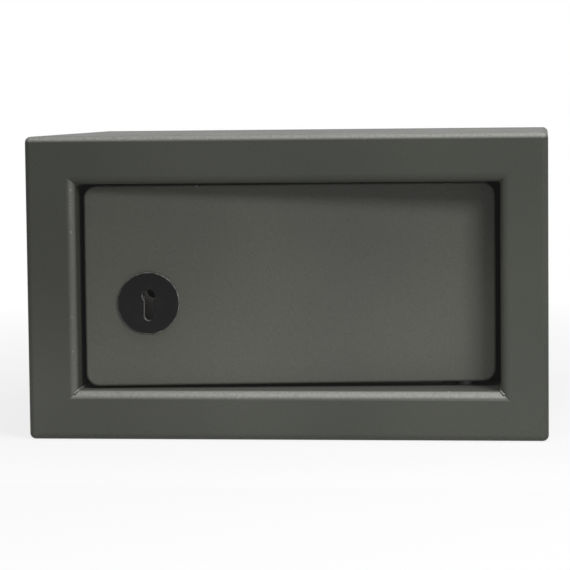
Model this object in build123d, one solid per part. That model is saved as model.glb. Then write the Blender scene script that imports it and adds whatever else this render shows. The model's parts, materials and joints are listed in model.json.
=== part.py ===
from build123d import *
import os

# Brick safe: a small steel wall safe that takes the place of two courses of
# brick. A folded front frame with rolled edges surrounds a recessed door, which
# turns on two hidden pins at the right and is locked by a lever lock behind a
# round black keyhole plate at the left.
#
# Millimetres. X runs to the right, Y runs from the front to the back, Z is up.
# The origin is the middle of the underside. A place in depth is written as the
# distance behind the front face, and the door is drawn shut, then swung ajar.

# Cabinet
width = 260.0
height = 152.0
depth = 220.0
sheet = 2.0
edge_radius = 3.0
collar_depth = 63.0
seam_chamfer = 0.4
back_thickness = 3.0
anchor_spacing = 120.0
anchor_radius = 5.0

# Front frame: its borders run from the outer edge to the wall of the opening
border_left = 25.0
border_right = 23.5
border_top = 24.0
border_bottom = 24.5
mouth_radius = 4.5
side_lip_depth = 27.0
long_lip_depth = 46.0

# Door
door_setback = 25.0
door_thickness = 6.0
gap_left = 1.4
gap_right = 3.5
gap_top = 1.0
gap_bottom_lock_side = 1.2
gap_bottom_hinge_side = 2.5
door_corner_radius = 6.5
door_edge_radius = 1.2
door_ajar_degrees = 4.5

# Door stops and bolt keeper
stop_thickness = 4.0
stop_height = 7.0
stop_gap = 0.3
stop_lock_end_gap = 30.0
stop_hinge_end_gap = 6.0
keeper_thickness = 4.0
keeper_length = 72.0
keeper_reach = 1.5
keeper_gap = 1.3

# Hinge
pin_radius = 4.0
pin_inset = 14.0
pin_press_gap = 0.02
pin_running_gap = 0.08
pin_end_gap = 0.5
pin_chamfer = 0.6
lug_width = 14.0
lug_depth = 9.0
lug_height = 18.0
lug_rear_chamfer = 3.0
lug_gap = 0.2
top_gap_at_lug = 1.3
washer_thickness = 2.0
washer_radius = 6.0
hinge_plate_width = 26.0
hinge_plate_depth = 19.0
hinge_plate_thickness = 5.0

# Keyhole and its black plate
key_from_left = 58.5
key_height = 71.2
key_head_radius = 3.4
key_slot_width = 4.8
key_slot_reach = 12.5
escutcheon_radius = 15.6
escutcheon_thickness = 1.5
escutcheon_drop = 3.5
escutcheon_chamfer = 0.4

# Lever lock, placed from the middle of the key
hard_plate_thickness = 3.0
hard_plate_margin = 2.0
hard_plate_gap = 0.2
case_wall = 1.5
case_floor = 2.0
case_left = 30.5
case_right = 27.0
case_below = 17.0
case_above = 31.0
case_inner_depth = 19.2
flange_height = 8.0
cap_thickness = 1.5
post_radius = 2.2
post_inset = 2.6
cap_screw_radius = 1.2
cap_screw_head_radius = 2.5
cap_screw_head_height = 1.7
cap_screw_length = 8.0
lock_screw_radius = 2.0
lock_screw_clearance = 0.15
lock_screw_head_radius = 4.0
lock_screw_head_height = 2.8
lock_screw_inset = 6.0
lock_screw_bite = 4.5

# Curtain, which the key turns
curtain_boss_radius = 9.5
curtain_disc_radius = 13.4
curtain_disc_thickness = 2.0
curtain_gap = 0.1

# Bolt
bolt_throw = 9.0
bolt_thickness = 8.0
bolt_setback = 0.6
bolt_gap = 0.3
bolt_head_length = 13.0
bolt_head_low = 6.5
bolt_head_high = 24.0
bolt_tail_low = 8.6
bolt_tail_high = 22.0
bolt_tail_reach = 14.0
bolt_window_gap = 0.2
bolt_nose_chamfer = 0.8
talon_width = 7.0
talon_depth = 3.6
stump_size = 2.4
stump_left = 10.5
stump_above = 16.4

# Levers
lever_count = 7
lever_thickness = 0.9
lever_pitch = 1.1
lever_gap = 0.5
lever_lifts = [3.0, 4.2, 3.4, 2.6, 3.8, 3.2, 4.0]
pivot_right = 20.0
pivot_above = 19.0
pivot_radius = 1.5
pivot_collar_radius = 2.8
lever_length = 44.8
lever_end = 5.0
lever_end_chamfer = 2.5
lever_low = 12.3
lever_high = 23.4
belly_low = 9.2
belly_left = 9.0
belly_right = 12.0
gate_clearance = 0.2
gate_bar = 3.0
pocket_clearance = 0.3
pocket_end_clearance = 0.5
spring_thickness = 0.4
spring_start = 8.0
spring_length = 24.0
spring_wall_gap = 0.3
spring_bow = 0.6

# Places worked out from the sizes above
front = -depth / 2
opening_left = -width / 2 + border_left
opening_right = width / 2 - border_right
opening_low = border_bottom
opening_high = height - border_top
door_left = opening_left + gap_left
door_right = opening_right - gap_right
door_low_at_lock = opening_low + gap_bottom_lock_side
door_low_at_hinge = opening_low + gap_bottom_hinge_side
door_high = opening_high - gap_top
door_back = door_setback + door_thickness
pin_x = door_right - pin_inset
pin_depth = door_back + lug_depth / 2
key_x = -width / 2 + key_from_left
case_front = door_back + hard_plate_thickness
case_inside = case_front + case_floor
case_back = case_inside + case_inner_depth
case_x0 = key_x - case_left
case_x1 = key_x + case_right
case_z0 = key_height - case_below
case_z1 = key_height + case_above
disc_front = case_inside + curtain_gap
disc_back = disc_front + curtain_disc_thickness
levers_front = disc_back + lever_gap
levers_back = levers_front + lever_count * lever_pitch
bolt_back = case_back - bolt_gap
bolt_front = bolt_back - bolt_thickness
bolt_nose = door_left + bolt_setback
keeper_back = bolt_front - keeper_gap
pivot_x = key_x + pivot_right
pivot_z = key_height + pivot_above
stump_x = key_x - stump_left
stump_z = key_height + stump_above


def block(x0, x1, d0, d1, z0, z1):
    """A box between two places in each direction, in depth d behind the front."""
    middle = Pos((x0 + x1) / 2, front + (d0 + d1) / 2, (z0 + z1) / 2)
    return middle * Box(x1 - x0, d1 - d0, z1 - z0)


def slab(outline, d0, d1):
    """An outline in X and Z made solid from depth d0 to depth d1."""
    plane = Plane((0, front + d1, 0), x_dir=(1, 0, 0), z_dir=(0, -1, 0))
    return extrude(plane * outline, d1 - d0)


def disc(x, z, radius, d0, d1):
    """A round bar that points from the front to the back."""
    return slab(Pos(x, z) * Circle(radius), d0, d1)


def upright(radius, z0, z1):
    """A round bar on the hinge axis."""
    middle = Pos(pin_x, front + pin_depth, (z0 + z1) / 2)
    return middle * Cylinder(radius, z1 - z0)


def along_depth(solid):
    return solid.edges().filter_by(Axis.Y)


def front_loop(solid):
    return solid.faces().sort_by(Axis.Y)[0].outer_wire().edges()


def tube(d0, d1):
    """The cabinet's wall from depth d0 to depth d1, with rounded long edges."""
    outside = block(-width / 2, width / 2, d0, d1, 0, height)
    outside = fillet(along_depth(outside), edge_radius)
    inside = block(
        -width / 2 + sheet, width / 2 - sheet, d0, d1, sheet, height - sheet
    )
    inside = fillet(along_depth(inside), edge_radius - sheet)
    return outside, inside


def keyhole():
    """The keyhole's outline: a round head for the shank and a slot for the bit."""
    head = Pos(key_x, key_height) * Circle(key_head_radius)
    foot_radius = key_slot_width / 2
    foot_z = key_height - key_slot_reach + foot_radius
    middle = Pos(key_x, (key_height + foot_z) / 2)
    slot = middle * Rectangle(key_slot_width, key_height - foot_z)
    foot = Pos(key_x, foot_z) * Circle(foot_radius)
    return head + slot + foot


def swing(solid):
    """Turns a piece of the door from shut to slightly ajar."""
    axis = Axis((pin_x, front + pin_depth, 0), (0, 0, 1))
    return solid.rotate(axis, door_ajar_degrees)


# Cabinet pieces


def front_frame():
    outside, inside = tube(0, collar_depth)
    outside = fillet(front_loop(outside), edge_radius)
    hollow = block(
        -width / 2 + sheet,
        width / 2 - sheet,
        sheet,
        collar_depth,
        sheet,
        height - sheet,
    )
    hollow = fillet(along_depth(hollow), edge_radius - sheet)
    shell = outside - hollow
    lip = block(
        opening_left - sheet,
        opening_right + sheet,
        0,
        long_lip_depth,
        opening_low - sheet,
        opening_high + sheet,
    )
    mouth = block(
        opening_left,
        opening_right,
        0,
        long_lip_depth,
        opening_low,
        opening_high,
    )
    beyond_side_lip = block(
        opening_left - sheet,
        opening_right + sheet,
        side_lip_depth,
        long_lip_depth,
        opening_low,
        opening_high,
    )
    frame = shell + lip - mouth - beyond_side_lip
    inner_bend = frame.edges().filter_by_position(
        Axis.Y, front + sheet, front + sheet
    )
    inner_bend = [
        edge
        for edge in inner_bend
        if abs(edge.center().X) <= opening_right + 2 * sheet
        and opening_low - 2 * sheet <= edge.center().Z <= opening_high + 2 * sheet
    ]
    frame = fillet(inner_bend, mouth_radius - sheet)
    mouth_edges = frame.faces().sort_by(Axis.Y)[0].inner_wires()[0].edges()
    frame = fillet(mouth_edges, mouth_radius)
    rear_loop = frame.faces().sort_by(Axis.Y)[-1].outer_wire().edges()
    frame = chamfer(rear_loop, seam_chamfer)
    return frame - upright(pin_radius + pin_running_gap, 2 * sheet, height - 2 * sheet)


def body_wrap():
    outside, inside = tube(collar_depth, depth)
    outside = chamfer(front_loop(outside), seam_chamfer)
    wrap = outside - inside
    seam = Pos(0, front + (collar_depth + depth) / 2, 0) * Rot(0, 45, 0)
    side = seam_chamfer * 2**0.5
    return wrap - seam * Box(side, depth - collar_depth, side)


def back_plate():
    plate = block(
        -width / 2 + sheet,
        width / 2 - sheet,
        depth - back_thickness,
        depth,
        sheet,
        height - sheet,
    )
    plate = fillet(along_depth(plate), edge_radius - sheet)
    for side in (-1, 1):
        plate -= disc(
            side * anchor_spacing / 2,
            height / 2,
            anchor_radius,
            depth - back_thickness,
            depth,
        )
    return plate


def keeper_strip():
    middle = key_height + (bolt_head_low + bolt_head_high) / 2
    return block(
        -width / 2 + sheet,
        opening_left - keeper_reach,
        keeper_back - keeper_thickness,
        keeper_back,
        middle - keeper_length / 2,
        middle + keeper_length / 2,
    )


def door_stop(z0):
    near = door_back + stop_gap
    return block(
        opening_left + stop_lock_end_gap,
        pin_x - lug_width / 2 - stop_hinge_end_gap,
        near,
        near + stop_thickness,
        z0,
        z0 + stop_height,
    )


def hinge_plate(z0):
    plate = block(
        pin_x - hinge_plate_width / 2,
        pin_x + hinge_plate_width / 2,
        pin_depth - hinge_plate_depth / 2,
        pin_depth + hinge_plate_depth / 2,
        z0,
        z0 + hinge_plate_thickness,
    )
    bore = upright(pin_radius + pin_running_gap, z0, z0 + hinge_plate_thickness)
    return plate - bore


def hinge_washer():
    low, high = opening_low, opening_low + washer_thickness
    ring = upright(washer_radius, low, high)
    return ring - upright(pin_radius + pin_running_gap, low, high)


# Door pieces, drawn with the door shut


def door_plate():
    outline = Polygon(
        (door_left, door_low_at_lock),
        (door_right, door_low_at_hinge),
        (door_right, door_high),
        (door_left, door_high),
        align=None,
    )
    plate = slab(outline, door_setback, door_back)
    plate = fillet(along_depth(plate), door_corner_radius)
    plate = fillet(front_loop(plate), door_edge_radius)
    plate -= slab(keyhole(), door_setback, door_back)
    for x, z in lock_screw_places():
        plate -= disc(x, z, lock_screw_radius, door_back - lock_screw_bite, door_back)
    return plate


def lug_places():
    """The low end of each hinge lug."""
    low = opening_low + washer_thickness + lug_gap
    high = opening_high - top_gap_at_lug - lug_height
    return low, high


def hinge_lug(z0):
    lug = block(
        pin_x - lug_width / 2,
        pin_x + lug_width / 2,
        door_back,
        door_back + lug_depth,
        z0,
        z0 + lug_height,
    )
    rear = lug.edges().filter_by(Axis.Z).sort_by(Axis.Y)[-2:]
    lug = chamfer(rear, lug_rear_chamfer)
    return lug - upright(pin_radius + pin_press_gap, z0, z0 + lug_height)


def hinge_pin(z0, z1, free_end):
    """A pin whose free end, the low one at 0 or the high one at -1, is chamfered."""
    pin = upright(pin_radius, z0, z1)
    rims = pin.edges().filter_by(GeomType.CIRCLE).sort_by(Axis.Z)
    return chamfer(rims[free_end], pin_chamfer)


def escutcheon():
    face = door_setback - escutcheon_thickness
    plate = disc(
        key_x, key_height - escutcheon_drop, escutcheon_radius, face, door_setback
    )
    rim = plate.faces().sort_by(Axis.Y)[0].outer_wire().edges()
    plate = chamfer(rim, escutcheon_chamfer)
    return plate - slab(keyhole(), face, door_setback)


def lock_screw_places():
    return [
        (x, z)
        for x in (case_x0 + lock_screw_inset, case_x1 - lock_screw_inset)
        for z in (case_z0 - flange_height / 2, case_z1 + flange_height / 2)
    ]


def post_places():
    low = (case_x0 + post_inset, case_z0 + post_inset)
    high = (case_x1 - post_inset, case_z1 - post_inset)
    return [low, high]


def hard_plate():
    plate = block(
        case_x0 + hard_plate_margin,
        case_x1 - hard_plate_margin,
        door_back,
        case_front,
        case_z0,
        case_z1,
    )
    return plate - slab(keyhole(), door_back, case_front)


def lock_case():
    """A cast case whose floor stands on two feet, above and below the hard plate."""
    flange = block(
        case_x0,
        case_x1,
        case_front,
        case_inside,
        case_z0 - flange_height,
        case_z1 + flange_height,
    )
    flange -= slab(keyhole(), case_front, case_inside)
    flange -= disc(
        key_x, key_height, curtain_boss_radius + curtain_gap, case_front, case_inside
    )
    flange -= disc(pivot_x, pivot_z, pivot_radius, case_front, case_inside)
    low_foot = (case_z0 - flange_height, case_z0 - hard_plate_gap)
    high_foot = (case_z1 + hard_plate_gap, case_z1 + flange_height)
    for foot in (low_foot, high_foot):
        flange += block(case_x0, case_x1, door_back, case_front, *foot)
    for x, z in lock_screw_places():
        hole = lock_screw_radius + lock_screw_clearance
        flange -= disc(x, z, hole, door_back, case_inside)
    walls = block(case_x0, case_x1, case_inside, case_back, case_z0, case_z1)
    walls -= block(
        case_x0 + case_wall,
        case_x1 - case_wall,
        case_inside,
        case_back,
        case_z0 + case_wall,
        case_z1 - case_wall,
    )
    walls -= block(
        case_x0,
        case_x0 + case_wall,
        bolt_front - bolt_window_gap,
        case_back,
        key_height + bolt_head_low - bolt_window_gap,
        key_height + bolt_head_high + bolt_window_gap,
    )
    case = flange + walls
    for x, z in post_places():
        case += disc(x, z, post_radius, case_inside, case_back)
    for x, z in post_places():
        case -= disc(x, z, cap_screw_radius, case_back - cap_screw_length, case_back)
    return case


def lock_cap():
    cap = block(
        case_x0, case_x1, case_back, case_back + cap_thickness, case_z0, case_z1
    )
    through = (case_back, case_back + cap_thickness)
    cap -= disc(key_x, key_height, key_head_radius, *through)
    for x, z in post_places():
        cap -= disc(x, z, cap_screw_radius, *through)
    return cap


def hexagon_screw(x, z, seat, radius, length, head_radius, head_height):
    """A screw that points to the front, with a hexagon head on its seat."""
    shank = disc(x, z, radius, seat - length, seat)
    hexagon = Pos(x, z) * RegularPolygon(head_radius, 6)
    return shank + slab(hexagon, seat, seat + head_height)


def lock_screws():
    length = lock_screw_bite + hard_plate_thickness + case_floor
    return [
        hexagon_screw(
            x,
            z,
            case_inside,
            lock_screw_radius,
            length,
            lock_screw_head_radius,
            lock_screw_head_height,
        )
        for x, z in lock_screw_places()
    ]


def cap_screws():
    length = cap_screw_length + cap_thickness
    return [
        hexagon_screw(
            x,
            z,
            case_back + cap_thickness,
            cap_screw_radius,
            length,
            cap_screw_head_radius,
            cap_screw_head_height,
        )
        for x, z in post_places()
    ]


def lever_post():
    pin = disc(pivot_x, pivot_z, pivot_radius, case_front, case_back)
    foot = disc(
        pivot_x, pivot_z, pivot_collar_radius, case_inside, levers_front - lever_gap / 2
    )
    head = disc(
        pivot_x, pivot_z, pivot_collar_radius, levers_back + lever_gap / 2, case_back
    )
    return pin + foot + head


def curtain():
    boss = disc(key_x, key_height, curtain_boss_radius, case_front, disc_front)
    plate = disc(key_x, key_height, curtain_disc_radius, disc_front, disc_back)
    return boss + plate - slab(keyhole(), case_front, disc_back)


def lock_bolt():
    head = block(
        bolt_nose,
        bolt_nose + bolt_head_length,
        bolt_front,
        bolt_back,
        key_height + bolt_head_low,
        key_height + bolt_head_high,
    )
    head = chamfer(head.edges().filter_by(Axis.Z).sort_by(Axis.X)[:2], bolt_nose_chamfer)
    tail_low = key_height + bolt_tail_low
    tail = block(
        bolt_nose + bolt_head_length,
        key_x + bolt_tail_reach,
        bolt_front,
        bolt_back,
        tail_low,
        key_height + bolt_tail_high,
    )
    talon_x = key_x + bolt_throw / 2
    talon = block(
        talon_x - talon_width / 2,
        talon_x + talon_width / 2,
        bolt_front,
        bolt_back,
        tail_low,
        tail_low + talon_depth,
    )
    talon = fillet(along_depth(talon).sort_by(Axis.Z)[-2:], talon_depth / 3)
    stump = block(
        stump_x - stump_size / 2,
        stump_x + stump_size / 2,
        levers_front,
        bolt_front,
        stump_z - stump_size / 2,
        stump_z + stump_size / 2,
    )
    return head + (tail - talon) + stump


# Levers: a lever that has dropped is turned up until its gate meets the stump


def lever_window():
    """The two pockets and the gate between them, where the bolt's stump runs."""
    half = stump_size / 2
    span = pivot_x - (stump_x - bolt_throw)
    rise = span * max(lever_lifts) * 3.1416 / 180
    low = stump_z - half - pocket_clearance
    high = stump_z + half + rise + pocket_clearance
    left = stump_x - bolt_throw - half - pocket_end_clearance
    right = stump_x + half + pocket_end_clearance
    middle = stump_x - bolt_throw / 2
    pockets = [(left, middle - gate_bar / 2), (middle + gate_bar / 2, right)]
    gate = Pos(middle, stump_z) * Rectangle(gate_bar, stump_size + 2 * gate_clearance)
    for x0, x1 in pockets:
        gate += Pos((x0 + x1) / 2, (low + high) / 2) * Rectangle(x1 - x0, high - low)
    return gate


def lever_outline():
    """The lever's edge when it has dropped, with the belly that the key lifts."""
    low = key_height + lever_low
    high = key_height + lever_high
    arm = Pos(pivot_x + (lever_end - lever_length) / 2, (low + high) / 2)
    arm = arm * Rectangle(lever_length + lever_end, high - low)
    arm = chamfer(arm.vertices().sort_by(Axis.X)[-2:], lever_end_chamfer)
    belly_bottom = key_height + belly_low
    belly = Pos(key_x + (belly_right - belly_left) / 2, (belly_bottom + high) / 2)
    belly = belly * Rectangle(belly_left + belly_right, high - belly_bottom)
    return arm + belly


def lever(index):
    d0 = levers_front + index * lever_pitch
    d1 = d0 + lever_thickness
    pivot = Axis((pivot_x, front, pivot_z), (0, 1, 0))
    plate = slab(lever_outline(), d0, d1).rotate(pivot, lever_lifts[index])
    plate -= slab(lever_window(), d0, d1)
    return plate - disc(pivot_x, pivot_z, pivot_radius + pin_running_gap, d0, d1)


def lever_spring(index):
    """A bent leaf from the lever's top edge to the top wall of the case."""
    d0 = levers_front + index * lever_pitch
    lift = lever_lifts[index]
    foot = Vector(pivot_x - spring_start, 0, key_height + lever_high)
    turn = Axis((pivot_x, 0, pivot_z), (0, 1, 0))
    foot = Vertex(*foot).rotate(turn, lift).center()
    tip_x = foot.X - spring_length
    tip_z = case_z1 - case_wall - spring_wall_gap - spring_thickness
    bend_z = (foot.Z + tip_z) / 2 + spring_bow
    under = [(tip_x, tip_z), ((foot.X + tip_x) / 2, bend_z), (foot.X, foot.Z)]
    over = [(x, z + spring_thickness) for x, z in reversed(under)]
    return slab(Polygon(*under, *over, align=None), d0, d0 + lever_thickness)


def build():
    lug_low, lug_high = lug_places()
    top_plate = opening_high + sheet
    low_plate = opening_low - sheet - hinge_plate_thickness
    fixed = {
        "front_frame": front_frame(),
        "body_wrap": body_wrap(),
        "back_plate": back_plate(),
        "keeper_strip": keeper_strip(),
        "door_stop_top": door_stop(opening_high - stop_height),
        "door_stop_bottom": door_stop(opening_low),
        "hinge_plate_top": hinge_plate(top_plate),
        "hinge_plate_bottom": hinge_plate(low_plate),
        "hinge_washer": hinge_washer(),
    }
    pin_top = top_plate + hinge_plate_thickness - pin_end_gap
    pin_low = low_plate + pin_end_gap
    moving = {
        "door_plate": door_plate(),
        "hinge_lug_top": hinge_lug(lug_high),
        "hinge_lug_bottom": hinge_lug(lug_low),
        "hinge_pin_top": hinge_pin(lug_high, pin_top, -1),
        "hinge_pin_bottom": hinge_pin(pin_low, lug_low + lug_height, 0),
        "escutcheon": escutcheon(),
        "hard_plate": hard_plate(),
        "lock_case": lock_case(),
        "lock_cap": lock_cap(),
        "lock_screws": lock_screws(),
        "cap_screws": cap_screws(),
        "lever_post": lever_post(),
        "curtain": curtain(),
        "lock_bolt": lock_bolt(),
    }
    for index in range(lever_count):
        moving[f"lever_{index + 1}"] = lever(index)
        moving[f"lever_spring_{index + 1}"] = lever_spring(index)
    pieces = dict(fixed)
    for name, piece in moving.items():
        solids = piece if isinstance(piece, list) else [piece]
        pieces[name] = Compound([swing(solid) for solid in solids])
    return pieces


os.makedirs("parts", exist_ok=True)
for node, piece in build().items():
    export_step(piece, f"parts/{node}.step")
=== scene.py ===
# %% [markdown]
# A small brick safe, dressed for the camera. The steel pieces arrive already
# modelled at their real size, in metres, with X to the right, Y from the door
# to the back and Z up. What is left to Blender is how they look: stoved grey
# enamel, blackened plate, bright steel and brass, and the weld beads that hold
# the sheet together. We could rebuild every piece here, but the solids are
# true already, so we only paint them and add what welding leaves behind.

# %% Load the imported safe
import json
import math
import bpy
from mathutils import Matrix, Vector


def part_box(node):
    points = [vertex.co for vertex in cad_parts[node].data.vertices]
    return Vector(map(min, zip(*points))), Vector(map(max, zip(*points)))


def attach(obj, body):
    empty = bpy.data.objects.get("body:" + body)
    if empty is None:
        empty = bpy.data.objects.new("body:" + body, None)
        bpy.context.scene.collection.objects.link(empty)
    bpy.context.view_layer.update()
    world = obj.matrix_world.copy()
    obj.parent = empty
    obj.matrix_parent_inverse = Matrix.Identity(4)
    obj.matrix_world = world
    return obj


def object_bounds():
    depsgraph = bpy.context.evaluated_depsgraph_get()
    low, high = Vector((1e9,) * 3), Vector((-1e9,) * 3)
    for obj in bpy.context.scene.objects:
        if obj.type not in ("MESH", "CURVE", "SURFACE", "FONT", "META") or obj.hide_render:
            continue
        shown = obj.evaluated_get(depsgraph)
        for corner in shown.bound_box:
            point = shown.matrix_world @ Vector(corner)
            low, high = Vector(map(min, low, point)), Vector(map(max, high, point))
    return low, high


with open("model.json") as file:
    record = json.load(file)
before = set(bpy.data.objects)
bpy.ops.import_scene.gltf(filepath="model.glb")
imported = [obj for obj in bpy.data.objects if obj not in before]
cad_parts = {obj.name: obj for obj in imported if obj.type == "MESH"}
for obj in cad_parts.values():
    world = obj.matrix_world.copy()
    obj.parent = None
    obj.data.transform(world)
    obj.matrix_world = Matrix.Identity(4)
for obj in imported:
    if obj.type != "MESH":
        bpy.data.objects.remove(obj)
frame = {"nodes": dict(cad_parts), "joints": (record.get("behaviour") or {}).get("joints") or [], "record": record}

cad_low, cad_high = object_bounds()
node_objects = frame["nodes"]
print("nodes:", len(node_objects), "box:", cad_low[:], cad_high[:])

# %% [markdown]
# The door stands slightly ajar, so its pieces are turned about the hinge pins.
# It is easier to think of a door that is shut, and to turn a finished piece
# afterwards. The hinge joint tells where the pins are and how far it is to
# shut, so nothing has to be measured by hand.

# %% Find the hinge and the door's angle
door_joint = next(joint for joint in frame["joints"] if joint["name"] == "door_swing")
hinge_axis = Vector(door_joint["pos_m"])
ajar = -math.radians(door_joint["range_deg"][0])
swing = Matrix.Translation(hinge_axis) @ Matrix.Rotation(ajar, 4, "Z")
swing = swing @ Matrix.Translation(-hinge_axis)
print("the door is ajar by", round(math.degrees(ajar), 2), "degrees")


def shut_box(node):
    """Lowest and highest corner of a door piece, as it lies with the door shut."""
    back = swing.inverted()
    corners = [back @ vertex.co for vertex in node_objects[node].data.vertices]
    low = Vector(min(corner[axis] for corner in corners) for axis in range(3))
    high = Vector(max(corner[axis] for corner in corners) for axis in range(3))
    return low, high


# %% [markdown]
# The camera stands a little over a metre in front of the safe, near its right
# side and just above its top, so that a sliver of the top shows and no side
# does. A long lens from far away would flatten the box, and a wide one would
# splay its edges, so the lens is the one at which the edges run as they should.

# %% Set up the camera
image_pixels = 570
sensor_mm = 36.0
focal_pixels = 2372.0
camera_place = Vector((0.1285, -1.2735, 0.1671))
camera_yaw = 0.1097
camera_pitch = -0.0763
camera_roll = 0.0107

camera_data = bpy.data.cameras.new("camera")
camera_data.sensor_width = sensor_mm
camera_data.lens = focal_pixels / image_pixels * sensor_mm
camera = bpy.data.objects.new("camera", camera_data)
bpy.context.scene.collection.objects.link(camera)
turn = Matrix.Rotation(camera_yaw, 4, "Z") @ Matrix.Rotation(camera_pitch, 4, "X")
turn = turn @ Matrix.Rotation(camera_roll, 4, "Y") @ Matrix.Rotation(math.pi / 2, 4, "X")
camera.matrix_world = Matrix.Translation(camera_place) @ turn
bpy.context.scene.camera = camera
print("lens:", round(camera_data.lens, 1), "mm")

# %% [markdown]
# Dark enamel shows its shape by what it mirrors. A broad lamp overhead, a little
# to the front and right, draws a soft bright band along every rolled edge and
# only grazes the front. A smaller one stands in front and to the right, like a
# window: it lights the face, and the frame throws a soft shadow on the door
# from the right and from above. A low card in front gives back what a white
# table top would. It shines in a narrow fan, so that it draws no hard line on
# the floor.

# %% Light the safe
overhead_size = (0.9, 0.5)
overhead_place = Vector((0.20, -0.35, 1.15))
overhead_power = 6.9
window_size = (0.30, 0.22)
window_place = Vector((0.49, -0.73, 0.52))
window_power = 5.3
card_size = (0.5, 0.02)
card_place = Vector((0.0, -0.26, 0.012))
card_target = Vector((0.0, -0.11, 0.012))
card_power = 0.038
card_spread = math.radians(70.0)


def add_area_light(name, place, target, width, depth, power, spread=math.pi):
    """A soft rectangular lamp that points at the target."""
    lamp = bpy.data.lights.new(name, "AREA")
    lamp.shape = "RECTANGLE"
    lamp.size = width
    lamp.size_y = depth
    lamp.energy = power
    lamp.spread = spread
    holder = bpy.data.objects.new(name, lamp)
    holder.location = place
    holder.rotation_euler = (target - place).to_track_quat("-Z", "Y").to_euler()
    holder.visible_camera = False
    bpy.context.scene.collection.objects.link(holder)


safe_middle = (cad_low + cad_high) / 2
add_area_light("overhead", overhead_place, safe_middle, *overhead_size, overhead_power)
add_area_light("window", window_place, safe_middle, *window_size, window_power)
add_area_light("card", card_place, card_target, *card_size, card_power, card_spread)
print("lamps:", sorted(lamp.name for lamp in bpy.data.lights))

# %% [markdown]
# The world, the floor and every finish are small graphs of nodes. Adding a node
# takes a line for the node and one for each of its inputs, so a graph soon
# grows too long to read. This helper adds a node, sets its plain inputs and
# wires the rest: a number or colour is set on the socket, and anything that
# comes out of another node is linked to it.

# %% A helper for node graphs
white = (1.0, 1.0, 1.0, 1.0)


def add_node(tree, kind, inputs=None, **settings):
    """Adds a node, applies its settings, and sets or links its inputs."""
    node = tree.nodes.new(kind)
    for name, value in settings.items():
        setattr(node, name, value)
    for key, value in (inputs or {}).items():
        if isinstance(value, bpy.types.NodeSocket):
            tree.links.new(value, node.inputs[key])
        else:
            node.inputs[key].default_value = value
    return node


def add_math(tree, operation, first, second):
    """One sum, product or other step between two values."""
    node = add_node(tree, "ShaderNodeMath", {0: first, 1: second}, operation=operation)
    return node.outputs[0]


def add_seen(tree):
    """Is 1 where the eye looks, straight, in a mirror or through glass, else 0."""
    rays = add_node(tree, "ShaderNodeLightPath").outputs
    bent = add_math(tree, "MAXIMUM", rays["Is Glossy Ray"], rays["Is Transmission Ray"])
    return add_math(tree, "MAXIMUM", rays["Is Camera Ray"], bent)


print("white:", white[:3])

# %% [markdown]
# The world is white where the camera sees it, straight, in a mirror or through
# glass, so the background is white. It is dim for the light it sheds, so that
# it doesn't wash out the shadows in the gap round the door. The Light Path node
# tells the two apart. The Standard view keeps each colour about as it is
# written here.

# %% Make the world
sky_strength = 0.03

world = bpy.data.worlds.new("studio")
bpy.context.scene.world = world
world.use_nodes = True
sky = world.node_tree
sky.nodes.clear()
dim_sky = {"Color": white, "Strength": sky_strength}
dim_sky = add_node(sky, "ShaderNodeBackground", dim_sky)
white_sky = {"Color": white, "Strength": 1.0}
white_sky = add_node(sky, "ShaderNodeBackground", white_sky)
whole_sky = {0: add_seen(sky), 1: dim_sky.outputs[0], 2: white_sky.outputs[0]}
whole_sky = add_node(sky, "ShaderNodeMixShader", whole_sky)
add_node(sky, "ShaderNodeOutputWorld", {"Surface": whole_sky.outputs[0]})
bpy.context.scene.view_settings.view_transform = "Standard"
print("world:", world.name, "with", len(sky.nodes), "nodes")

# %% [markdown]
# The same few steps come back in every finish: noise, a range that stretches
# it, a mix of two colours, a slight relief. With a helper for each of them, a
# material reads as a list of what it is made of. In front of a white
# background a lens scatters a little light over everything, so no gap looks
# quite black, and every finish gets a faint glow that stands for it.

# %% Helpers for finishes
lens_veil = 0.006


def start_material(name):
    """An empty material, its graph and the Object coordinates of a piece."""
    material = bpy.data.materials.new(name)
    material.use_nodes = True
    tree = material.node_tree
    tree.nodes.clear()
    place = add_node(tree, "ShaderNodeTexCoord").outputs["Object"]
    return material, tree, place


def add_facing(tree):
    """Which way the surface faces on the piece, as its X, Y and Z."""
    normal = add_node(tree, "ShaderNodeTexCoord").outputs["Normal"]
    return add_node(tree, "ShaderNodeSeparateXYZ", {0: normal}).outputs


def add_noise(tree, place, per_metre, detail=2.0, roughness=0.5):
    """Smooth random values, with about this many waves in a metre."""
    inputs = {"Vector": place, "Scale": per_metre, "Detail": detail, "Roughness": roughness}
    return add_node(tree, "ShaderNodeTexNoise", inputs).outputs["Fac"]


def add_range(tree, value, low, high, to_low=0.0, to_high=1.0):
    """Stretches values between low and high to another range, and clamps them."""
    inputs = {0: value, 1: low, 2: high, 3: to_low, 4: to_high}
    return add_node(tree, "ShaderNodeMapRange", inputs).outputs["Result"]


def add_mix(tree, factor, first, second):
    """A colour between two colours."""
    inputs = {0: factor, 6: first, 7: second}
    return add_node(tree, "ShaderNodeMix", inputs, data_type="RGBA").outputs[2]


def add_shade(tree, colour, value):
    """The same colour, darker or lighter by this factor."""
    inputs = {"Color": colour, "Value": value}
    return add_node(tree, "ShaderNodeHueSaturation", inputs).outputs["Color"]


def add_bump(tree, height, distance, below=None):
    """A small relief of this depth in metres, on top of another one."""
    inputs = {"Height": height, "Distance": distance, "Strength": 1.0}
    if below is not None:
        inputs["Normal"] = below
    return add_node(tree, "ShaderNodeBump", inputs).outputs["Normal"]


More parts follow.
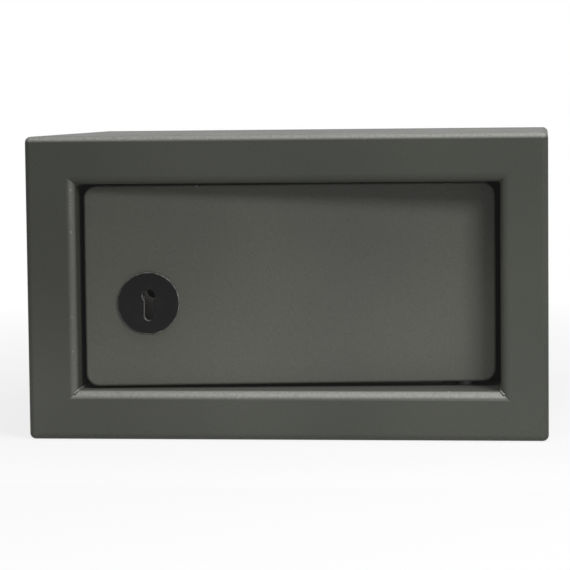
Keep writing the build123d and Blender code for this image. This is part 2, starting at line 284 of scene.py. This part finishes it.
def finish_material(tree, inputs):
    """Wires a Principled shader with these inputs to the output."""
    veil = {"Emission Color": white, "Emission Strength": lens_veil}
    shader = add_node(tree, "ShaderNodeBsdfPrincipled", {**inputs, **veil})
    add_node(tree, "ShaderNodeOutputMaterial", {"Surface": shader.outputs["BSDF"]})


print("lens veil:", lens_veil)

# %% [markdown]
# Stoved enamel is sprayed on and baked. Its grey drifts a little over a hand's
# width and has a tight grain, and a few specks of dust are baked in for good.
# Noise gives the drift and the grain. The drift is mirrored, so that its pale
# side lies where the safe has it. For the specks we could scatter tiny discs,
# but a Voronoi node does it in the paint: it cuts space into cells, and a few
# cells, picked by their random colour, get a dot in their middle.

# %% The grey of the enamel
enamel_speck = (0.020, 0.020, 0.019, 1.0)
drift_mirror = (-1.0, 1.0, 1.0)
drift_per_metre = 9.0
drift_span = (0.35, 0.65)
grain_per_metre = 1300.0
grain_span = (0.3, 0.7)
grain_shades = (0.90, 1.10)
specks_per_metre = 95.0
speck_edge = (0.022, 0.040)
speck_pick = (0.93, 0.94)
speck_cover = 0.8


def add_dots(tree, place, per_metre, edge, pick, cover):
    """A dot in the middle of each cell that is picked, and 0 elsewhere."""
    cells = add_node(tree, "ShaderNodeTexVoronoi", {"Vector": place, "Scale": per_metre})
    dot = add_range(tree, cells.outputs["Distance"], *edge, 1.0, 0.0)
    chance = add_node(tree, "ShaderNodeSeparateColor", {"Color": cells.outputs["Color"]})
    picked = add_range(tree, chance.outputs[0], *pick, 0.0, cover)
    return add_math(tree, "MULTIPLY", dot, picked)


def enamel_colour(tree, place, grain, grey, pale):
    """A grey that drifts towards a paler one, with its grain and its specks."""
    mirrored = {"Vector": place, "Scale": drift_mirror}
    mirrored = add_node(tree, "ShaderNodeMapping", mirrored).outputs["Vector"]
    drift = add_noise(tree, mirrored, drift_per_metre, detail=1.0)
    colour = add_mix(tree, add_range(tree, drift, *drift_span), grey, pale)
    colour = add_shade(tree, colour, add_range(tree, grain, 0.0, 1.0, *grain_shades))
    specks = add_dots(tree, place, specks_per_metre, speck_edge, speck_pick, speck_cover)
    return add_mix(tree, specks, colour, enamel_speck)


print("a drift every", round(1000 / drift_per_metre), "mm")

# %% [markdown]
# On the rolls that face half up and half forward the enamel is paler and grainy,
# with a few chips. The pale band is partly enamel rubbed thin and partly a
# painted highlight where the overhead lamp falls. We could paint a mask by hand,
# but the Normal of the Texture Coordinate node finds those rolls by itself: there
# it points half up and half to the front. The upright roll beside the lock gets a
# little of the band too, as a painted highlight. The band ends in front of the seam across the top.

# %% Wear and a painted highlight on the rolls
# A pale grey for the rolls: rubbed enamel and a painted highlight.
enamel_rub_and_highlight = (0.270, 0.270, 0.255, 1.0)
enamel_chip = (0.420, 0.415, 0.395, 1.0)
lock_side_x = (-0.06, -0.09)
lock_side_highlight = 0.36
seam_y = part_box("body_wrap")[0].y
seam_clear = (0.005, 0.015)
roll_span = (-0.06, -0.42)
rub_highlight_per_metre = 700.0
rub_highlight_span = (0.25, 0.6)
rub_highlight_least = 0.72
chips_per_metre = 420.0
chip_edge = (0.20, 0.34)
chip_pick = (0.975, 0.985)
chip_cover = 0.9


def add_rolls(tree, place):
    """Is 1 on a roll that faces half up and half to the front, and 0 on flats."""
    facing = add_facing(tree)
    where = add_node(tree, "ShaderNodeSeparateXYZ", {0: place}).outputs
    # The upright roll beside the lock takes a smaller share: a painted highlight.
    lock_side = add_range(tree, where["X"], *lock_side_x, 0.0, lock_side_highlight)
    right = add_math(tree, "MULTIPLY", facing["X"], lock_side)
    up = add_math(tree, "MAXIMUM", facing["Z"], right)
    both = add_math(tree, "MULTIPLY", add_math(tree, "MAXIMUM", up, 0.0), facing["Y"])
    ahead = add_range(tree, where["Y"], seam_y - seam_clear[0], seam_y - seam_clear[1])
    return add_math(tree, "MULTIPLY", add_range(tree, both, *roll_span), ahead)


def wear_and_highlight_rolls(tree, place, colour, wear_highlight_share):
    """Paints the rolls paler, enamel worn thin and a painted highlight, and chips them here and there."""
    rolls = add_rolls(tree, place)
    patchy = add_noise(tree, place, rub_highlight_per_metre, detail=3.0)
    patchy = add_range(tree, patchy, *rub_highlight_span, rub_highlight_least, 1.0)
    patch_share = add_math(tree, "MULTIPLY", rolls, patchy)
    # The pale band: rubbed enamel and a painted highlight in one colour.
    colour = add_mix(tree, add_math(tree, "MULTIPLY", patch_share, wear_highlight_share), colour, enamel_rub_and_highlight)
    chips = add_dots(tree, place, chips_per_metre, chip_edge, chip_pick, chip_cover)
    return add_mix(tree, add_math(tree, "MULTIPLY", chips, rolls), colour, enamel_chip)


print("the wear ends in front of y =", round(seam_y, 3))

# %% [markdown]
# Three more marks. Around the left side of the keyhole plate the paint is darker:
# a painted shade. The keyhole is cut through the door after the stove, so its
# walls are bare steel: they are found by their distance from the plate's middle
# and by not facing the front. And whatever faces straight up is paler: partly a
# film of dust, partly a painted sheen.

# %% The keyhole, a painted shade and the dust
cut_steel = (0.220, 0.220, 0.210, 1.0)
# Paler grey on upward faces: partly dust and partly a painted sheen.
enamel_dust_and_sheen = (0.170, 0.168, 0.160, 1.0)
plate_low, plate_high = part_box("escutcheon")
keyhole_middle = (plate_low + plate_high) / 2
keyhole_reach = (0.014, 0.015)
keyhole_wall = (-0.7, -0.4)
# Where the painted shade beside the plate is darkest, and how far it reaches.
painted_shade_place = Vector((plate_low.x, plate_low.y, keyhole_middle.z))
painted_shade_reach = (0.02, 0.08)
painted_shade_level = 0.80
dust_sheen_span = (0.96, 1.0)
dust_sheen_cover = 0.35


def add_distance(tree, place, point):
    """How far it is to a point, in metres."""
    inputs = {0: place, 1: point}
    node = add_node(tree, "ShaderNodeVectorMath", inputs, operation="DISTANCE")
    return node.outputs["Value"]


def add_shade_walls_and_dust(tree, place, colour):
    """Painted shade beside the plate, bare walls in the keyhole, and dust with a painted sheen on top."""
    # Painted shade: darker around the plate's left side, fading out over a few centimetres.
    away = add_distance(tree, place, painted_shade_place)
    painted_shade = add_range(tree, away, *painted_shade_reach, painted_shade_level, 1.0)
    colour = add_shade(tree, colour, painted_shade)
    facing = add_facing(tree)
    away = add_distance(tree, place, keyhole_middle)
    hole = add_range(tree, away, *keyhole_reach, 1.0, 0.0)
    wall = add_range(tree, facing["Y"], *keyhole_wall)
    colour = add_mix(tree, add_math(tree, "MULTIPLY", hole, wall), colour, cut_steel)
    # Dust and a painted sheen: every face that points straight up is paler.
    dust_sheen = add_range(tree, facing["Z"], *dust_sheen_span, 0.0, dust_sheen_cover)
    return add_mix(tree, dust_sheen, colour, enamel_dust_and_sheen)


print("keyhole at", [round(value, 3) for value in keyhole_middle])

# %% [markdown]
# Now the paint comes together. Its surface is never quite flat: under the grain
# lies a fine orange peel a few millimetres across, and a wiping cloth leaves
# duller patches. The door's grey is paler than the frame's. It is the same enamel,
# painted lighter as painted light against the shade it lies in, deep in the mouth. Its
# rolls take a fifth of the pale band. One function with two sets of tones keeps them the same paint.

# %% Mix the two enamels
frame_grey = (0.0486, 0.0518, 0.0434, 1.0)
frame_pale = (0.0585, 0.0612, 0.0514, 1.0)
# Each enamel's share of the pale band of wear and painted highlight.
frame_wear_highlight = 1.0
# The door's greys are painted lighter than the frame's: painted light against the shade deep in the mouth.
door_lightened_grey = (0.0770, 0.0790, 0.0690, 1.0)
door_lightened_pale = (0.0935, 0.0940, 0.0806, 1.0)
door_wear_highlight = 0.2
enamel_gloss = 0.12
enamel_rough = (0.42, 0.48)
wipe_per_metre = 22.0
wipe_span = (0.35, 0.70)
peel_per_metre = 330.0
peel_depth = 0.00006
grain_depth = 0.000006


def enamel_material(name, grey, pale, wear_highlight_share):
    """Stoved enamel of these two greys, rubbed this much on its rolls."""
    material, tree, place = start_material(name)
    grain = add_range(tree, add_noise(tree, place, grain_per_metre), *grain_span)
    colour = enamel_colour(tree, place, grain, grey, pale)
    colour = wear_and_highlight_rolls(tree, place, colour, wear_highlight_share)
    colour = add_shade_walls_and_dust(tree, place, colour)
    wiped = add_noise(tree, place, wipe_per_metre, detail=4.0, roughness=0.6)
    rough = add_range(tree, wiped, *wipe_span, *enamel_rough)
    relief = add_bump(tree, add_noise(tree, place, peel_per_metre), peel_depth)
    relief = add_bump(tree, grain, grain_depth, relief)
    paint = {"Base Color": colour, "Roughness": rough, "Normal": relief}
    paint["Specular IOR Level"] = enamel_gloss
    finish_material(tree, paint)
    return material


cabinet_enamel = enamel_material("cabinet_enamel", frame_grey, frame_pale, frame_wear_highlight)
door_enamel = enamel_material("door_enamel", door_lightened_grey, door_lightened_pale, door_wear_highlight)
print("enamels:", cabinet_enamel.name, door_enamel.name)

# %% [markdown]
# The keyhole plate is blackened steel under a satin lacquer. It is darker and
# duller than the enamel, with a grain like fine sandpaper. Its rim and the edge
# of its keyhole were cut after blackening and then worn by keys, so wherever
# the surface doesn't face the front, bare steel shows in patches.

# %% Blackened plate
plate_black = (0.0022, 0.0023, 0.0022, 1.0)
plate_worn = (0.012, 0.012, 0.011, 1.0)
plate_edge = (0.200, 0.200, 0.190, 1.0)
plate_gloss = 0.1
plate_rough = (0.48, 0.60)
plate_grain_per_metre = 2200.0
plate_grain_depth = 0.00002
sparkle_span = (0.62, 0.80)
sparkle_most = 0.7
worn_per_metre = 160.0
worn_span = (0.55, 0.75)
worn_most = 0.5
edge_span = (-0.9, -0.6)
bare_per_metre = 420.0
bare_span = (0.35, 0.6)
bare_least = 0.25
lacquer_per_metre = 60.0
lacquer_span = (0.3, 0.7)


def blackened_material():
    """Satin black with a fine grain and a few rubbed places."""
    material, tree, place = start_material("blackened_plate")
    patch_share = add_noise(tree, place, worn_per_metre, detail=4.0)
    patch_share = add_range(tree, patch_share, *worn_span, 0.0, worn_most)
    colour = add_mix(tree, patch_share, plate_black, plate_worn)
    grain = add_noise(tree, place, plate_grain_per_metre)
    sparkle = add_range(tree, grain, *sparkle_span, 0.0, sparkle_most)
    colour = add_mix(tree, sparkle, colour, plate_worn)
    edge = add_range(tree, add_facing(tree)["Y"], *edge_span)
    bare = add_noise(tree, place, bare_per_metre, detail=3.0)
    bare = add_range(tree, bare, *bare_span, bare_least, 1.0)
    colour = add_mix(tree, add_math(tree, "MULTIPLY", edge, bare), colour, plate_edge)
    lacquer = add_noise(tree, place, lacquer_per_metre, detail=3.0)
    rough = add_range(tree, lacquer, *lacquer_span, *plate_rough)
    relief = add_bump(tree, grain, plate_grain_depth)
    black = {"Base Color": colour, "Roughness": rough, "Normal": relief}
    black["Specular IOR Level"] = plate_gloss
    finish_material(tree, black)
    return material


blackened_plate = blackened_material()
print("plate:", blackened_plate.name)

# %% [markdown]
# Bare metals differ in colour and in the marks of their making. Turned steel
# has fine rings, drawn brass has long streaks, zinc plating is soft and grey.
# All of them can share one recipe: a metal whose colour drifts between two
# tones, with streaks that a Mapping node squeezes or stretches along an axis.
# A table holds what differs: the slot that the metal fills, its name, its
# bright and dull tone, the scale of its streaks and its range of roughness.

# %% Bare metals
streaks_per_metre = 400.0
streak_span = (0.3, 0.7)
streak_depth = 0.000012
tarnish_per_metre = 70.0
tarnish_span = (0.35, 0.70)
metals = (
    ("bright_steel", "turned_steel", (0.56, 0.56, 0.55), (0.40, 0.40, 0.39),
     (1.0, 1.0, 9.0), (0.24, 0.38)),
    ("hardened_steel", "hardened_steel", (0.045, 0.045, 0.048), (0.020, 0.020, 0.022),
     (1.0, 1.0, 6.0), (0.35, 0.50)),
    ("plated_steel", "zinc_plated_steel", (0.22, 0.22, 0.21), (0.13, 0.13, 0.125),
     (1.0, 1.0, 3.0), (0.40, 0.55)),
    ("brass", "drawn_brass", (0.72, 0.50, 0.20), (0.50, 0.34, 0.14),
     (0.15, 1.0, 1.0), (0.26, 0.42)),
)


def metal_material(name, bright, dull, streaks, roughness):
    """A bare metal with stretched streaks and duller patches."""
    material, tree, place = start_material(name)
    along = add_node(tree, "ShaderNodeMapping", {"Vector": place, "Scale": streaks})
    streak = add_noise(tree, along.outputs["Vector"], streaks_per_metre, detail=3.0)
    tarnish = add_noise(tree, place, tarnish_per_metre, detail=3.0)
    tarnish = add_range(tree, tarnish, *tarnish_span)
    colour = add_mix(tree, tarnish, (*bright, 1.0), (*dull, 1.0))
    rough = add_range(tree, streak, *streak_span, *roughness)
    bare = {"Base Color": colour, "Metallic": 1.0, "Roughness": rough}
    bare["Normal"] = add_bump(tree, streak, streak_depth)
    finish_material(tree, bare)
    return material


bare_metals = {slot: metal_material(*recipe) for slot, *recipe in metals}
print("metals:", sorted(material.name for material in bare_metals.values()))

# %% [markdown]
# The record of the safe says which finish each piece takes, so a loop can dress
# them all. Only the material in a piece's slot changes, never its mesh.

# %% Dress the pieces
finishes = {
    "grey_enamel": cabinet_enamel,
    "door_enamel": door_enamel,
    "black_plate": blackened_plate,
    **bare_metals,
}
for row in frame["record"]["subparts"]:
    for slot in node_objects[row["node"]].material_slots:
        slot.material = finishes[row["material_slot"]]
print("finishes:", sorted(finishes))

# %% [markdown]
# On the real safe, short runs of weld hold the stops, the keeper, the hinge
# plates and the back in place, and the lugs on the door. A bead is laid as a
# row of overlapping drops, each frozen before the next one lands, and it is
# painted over with the rest. We could model one long wavy ridge, but a row of
# drops is what it is: Geometry Nodes walks along each line and sets them down.

# %% A node group that lays weld beads
drop_segments = 8
drop_rings = 5
drop_least = (0.85, 0.85, 0.7)
drop_most = (1.15, 1.15, 0.9)


def bead_group():
    """Lays overlapping drops of weld along every edge of a mesh."""
    group = bpy.data.node_groups.new("weld_bead", "GeometryNodeTree")
    sockets = group.interface.new_socket
    sockets("Geometry", in_out="INPUT", socket_type="NodeSocketGeometry")
    sockets("Spacing", in_out="INPUT", socket_type="NodeSocketFloat")
    sockets("Radius", in_out="INPUT", socket_type="NodeSocketFloat")
    sockets("Seed", in_out="INPUT", socket_type="NodeSocketInt")
    sockets("Material", in_out="INPUT", socket_type="NodeSocketMaterial")
    sockets("Geometry", in_out="OUTPUT", socket_type="NodeSocketGeometry")
    given = add_node(group, "NodeGroupInput").outputs
    line = add_node(group, "GeometryNodeMeshToCurve", {"Mesh": given["Geometry"]})
    steps = {"Curve": line.outputs["Curve"], "Length": given["Spacing"]}
    steps = add_node(group, "GeometryNodeResampleCurve", steps, mode="LENGTH")
    drop = {"Segments": drop_segments, "Rings": drop_rings, "Radius": given["Radius"]}
    drop = add_node(group, "GeometryNodeMeshUVSphere", drop)
    tangent = add_node(group, "GeometryNodeInputTangent").outputs["Tangent"]
    turned = {"Vector": tangent}
    turned = add_node(group, "FunctionNodeAlignRotationToVector", turned, axis="Z")
    wobble = {"Min": drop_least, "Max": drop_most, "Seed": given["Seed"]}
    wobble = add_node(group, "FunctionNodeRandomValue", wobble, data_type="FLOAT_VECTOR")
    drops = {
        "Points": steps.outputs["Curve"],
        "Instance": drop.outputs["Mesh"],
        "Rotation": turned.outputs["Rotation"],
        "Scale": wobble.outputs["Value"],
    }
    drops = add_node(group, "GeometryNodeInstanceOnPoints", drops)
    solid = {"Geometry": drops.outputs["Instances"]}
    solid = add_node(group, "GeometryNodeRealizeInstances", solid)
    painted = {"Geometry": solid.outputs["Geometry"], "Material": given["Material"]}
    painted = add_node(group, "GeometryNodeSetMaterial", painted)
    add_node(group, "NodeGroupOutput", {"Geometry": painted.outputs["Geometry"]})
    return group


weld_bead = bead_group()
print("weld bead inputs:", [item.name for item in weld_bead.interface.items_tree])

# %% [markdown]
# A run of weld is a row of points, and a set of runs becomes one piece. The
# points and edges go into a mesh, the node group turns them into drops, and the
# result is kept as a plain mesh, because a modifier with instances wouldn't
# survive outside this file. The piece then rides on the body it is welded to.

# %% Turn runs into beads
bead_spacing = 0.7
bead_seed = 7


def runs_along(start, end, length, step):
    """Short runs of this length, evenly spread between two points."""
    way = end - start
    count = max(1, round(way.length / step))
    along = way.normalized() * length / 2
    middles = [start + way * (index + 0.5) / count for index in range(count)]
    return [(middle - along, middle + along) for middle in middles]


def plain_beads(name, runs, inputs):
    """A plain mesh with drops along each run, laid with these inputs."""
    mesh = bpy.data.meshes.new(name)
    points, edges = [], []
    for run in runs:
        first = len(points)
        points += [tuple(point) for point in run]
        edges += [(index, index + 1) for index in range(first, len(points) - 1)]
    mesh.from_pydata(points, edges, [])
    lines = bpy.data.objects.new(name + "_lines", mesh)
    bpy.context.scene.collection.objects.link(lines)
    modifier = lines.modifiers.new("beads", "NODES")
    modifier.node_group = weld_bead
    for item in weld_bead.interface.items_tree:
        if item.in_out == "INPUT" and item.name in inputs:
            modifier[item.identifier] = inputs[item.name]
    laid = lines.evaluated_get(bpy.context.evaluated_depsgraph_get())
    plain = bpy.data.meshes.new_from_object(laid)
    lines.modifiers.remove(modifier)
    bpy.data.objects.remove(lines)
    return plain


def add_beads(name, runs, radius, spacing, material, body, slot):
    """One piece with a bead along each run, riding this body."""
    inputs = {"Spacing": spacing * radius, "Radius": radius}
    inputs.update({"Seed": bead_seed, "Material": material})
    plain = plain_beads(name, runs, inputs)
    plain.name = name
    plain.shade_smooth()
    beads = bpy.data.objects.new(name, plain)
    bpy.context.scene.collection.objects.link(beads)
    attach(beads, body)
    print(name, "has", len(runs), "runs and", len(plain.polygons), "faces")


print("a drop every", bead_spacing, "of its radius")

# %% [markdown]
# The corner lines between plates follow from the boxes of the pieces, so a
# bead can't end up beside its joint. The back is stitched from inside, a
# finger's width at a time, because a long bead would warp the sheet. The stops,
# the keeper and the hinge plates carry little, so short tacks hold them.

# %% Weld the cabinet
ripple_radius = 0.0013
stitch_length = 0.018
stitch_step = 0.056
tack_length = 0.012

cabinet_runs = []
back_low, back_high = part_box("back_plate")
for z in (back_low.z, back_high.z):
    start = Vector((back_low.x, back_low.y, z))
    end = Vector((back_high.x, back_low.y, z))
    cabinet_runs += runs_along(start, end, stitch_length, stitch_step)
for x in (back_low.x, back_high.x):
    start = Vector((x, back_low.y, back_low.z))
    end = Vector((x, back_low.y, back_high.z))
    cabinet_runs += runs_along(start, end, stitch_length, stitch_step)
for node, top in (("door_stop_top", True), ("door_stop_bottom", False)):
    low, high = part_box(node)
    z = high.z if top else low.z
    start, end = Vector((low.x, high.y, z)), Vector((high.x, high.y, z))
    cabinet_runs += runs_along(start, end, tack_length, stitch_step)
keeper_low, keeper_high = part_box("keeper_strip")
start = Vector((keeper_low.x, keeper_high.y, keeper_low.z))
end = Vector((keeper_low.x, keeper_high.y, keeper_high.z))
cabinet_runs += runs_along(start, end, tack_length, keeper_high.z - keeper_low.z)
for node, top in (("hinge_plate_top", True), ("hinge_plate_bottom", False)):
    low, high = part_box(node)
    z = low.z if top else high.z
    for x in (low.x, high.x):
        start, end = Vector((x, low.y, z)), Vector((x, high.y, z))
        cabinet_runs += runs_along(start, end, tack_length, high.y - low.y)

grey = (cabinet_enamel, "cabinet", "grey_enamel")
add_beads("cabinet_beads", cabinet_runs, ripple_radius, bead_spacing, *grey)

# %% [markdown]
# In the mouth of the safe the four lips meet at mitres, with a thin bead in
# each corner. It starts on the roll, where the two sheets curve inwards
# together, and runs along the corner until it is just in front of the shut
# door. At the two lower corners it begins further out on the roll than at the
# upper ones. The borders of the face tell where the mouth is.

# %% Weld the mouth
border_left = 0.025
border_right = 0.0235
border_bottom = 0.0245
border_top = 0.024
mouth_radius = 0.0045
mitre_radius = 0.0009
mitre_clear = 0.0015
roll_angles = (40.0, 55.0, 70.0, 90.0)

mouth_x = (cad_low.x + border_left, cad_high.x - border_right)
mouth_z = (cad_low.z + border_bottom, cad_high.z - border_top)
mitre_end = shut_box("door_plate")[0].y - mitre_clear


def mitre_run(x, z):
    """The corner of the mouth, from its roll to just in front of the door."""
    across, up = math.copysign(1, x), math.copysign(1, z - mouth_z[0] - mouth_radius)
    points = []
    angles = roll_angles if z < mouth_z[1] else roll_angles[-1:]
    for angle in map(math.radians, angles):
        aside = mouth_radius * (1 - math.sin(angle))
        y = cad_low.y + mouth_radius * (1 - math.cos(angle))
        points.append(Vector((x + across * aside, y, z + up * aside)))
    return points + [Vector((x, mitre_end, z))]


mitre_runs = [mitre_run(x, z) for x in mouth_x for z in mouth_z]
add_beads("mitre_beads", mitre_runs, mitre_radius, bead_spacing, *grey)

# %% [markdown]
# Welding spits. A few bare drops of spatter sit on the roll at the lock side,
# under its upper corner. The same node group lays them: with a wide spacing the
# drops stand apart. A particle system could scatter them, but for so few drops
# one short line is enough.

# %% Leave some spatter
spatter_radius = 0.0005
spatter_spacing = 3.2
spatter_length = 0.014
spatter_angle = math.radians(30.0)

spatter_top = Vector((mouth_x[0], cad_low.y + spatter_radius, mouth_z[1] - mouth_radius))
aside, inwards = math.sin(spatter_angle) - 1, 1 - math.cos(spatter_angle)
spatter_top += mouth_radius * Vector((aside, inwards, 0.0))
spatter_runs = [(spatter_top, spatter_top - Vector((0.0, 0.0, spatter_length)))]
bare = (finishes["plated_steel"], "cabinet", "plated_steel")
add_beads("weld_spatter", spatter_runs, spatter_radius, spatter_spacing, *bare)

# %% [markdown]
# The two lugs that carry the hinge pins are welded to the back of the door,
# one run on each side. Their places are worked out with the door shut, and the
# finished runs are turned with it.

# %% Weld the door
door_runs = []
for node in ("hinge_lug_top", "hinge_lug_bottom"):
    low, high = shut_box(node)
    for x in (low.x, high.x):
        start, end = Vector((x, low.y, low.z)), Vector((x, low.y, high.z))
        door_runs += runs_along(start, end, tack_length, high.z - low.z)
door_runs = [(swing @ start, swing @ end) for start, end in door_runs]
painted_door = (door_enamel, "door", "door_enamel")
add_beads("door_beads", door_runs, ripple_radius, bead_spacing, *painted_door)

# %% [markdown]
# The floor is a plain white sheet that runs off behind the safe. Close to the
# safe a part of it is lit by the lamps, so it keeps a soft shadow under the
# box. Further off it glows white by itself for the eye and for mirrored rays,
# so that it melts into the white behind it. Its glow lights nothing, because
# the rays that carry light between matt surfaces still see the plain sheet.

# %% Lay the floor
floor_half = 6.0
floor_gap = 0.0002
floor_white = (0.82, 0.82, 0.82, 1.0)
near_edge = 0.16
far_edge = 0.75
near_glow = 0.82


def floor_material():
    """A white sheet that is partly lit near the safe and glows further off."""
    material, tree, place = start_material("floor")
    away = add_node(tree, "ShaderNodeVectorMath", {0: place}, operation="LENGTH")
    far = add_range(tree, away.outputs["Value"], near_edge, far_edge, near_glow, 1.0)
    share = add_math(tree, "MULTIPLY", add_seen(tree), far)
    matt = add_node(tree, "ShaderNodeBsdfDiffuse", {"Color": floor_white})
    glow = add_node(tree, "ShaderNodeEmission", {"Strength": 1.0})
    sheet = {0: share, 1: matt.outputs[0], 2: glow.outputs[0]}
    sheet = add_node(tree, "ShaderNodeMixShader", sheet)
    add_node(tree, "ShaderNodeOutputMaterial", {"Surface": sheet.outputs[0]})
    return material


floor_mesh = bpy.data.meshes.new("floor")
floor_corners = [(-floor_half, -floor_half), (floor_half, -floor_half)]
floor_corners += [(floor_half, floor_half), (-floor_half, floor_half)]
floor_mesh.from_pydata([(x, y, -floor_gap) for x, y in floor_corners], [], [(0, 1, 2, 3)])
floor_mesh.materials.append(floor_material())
floor = bpy.data.objects.new("floor", floor_mesh)
bpy.context.scene.collection.objects.link(floor)
print("floor:", 2 * floor_half, "m square")
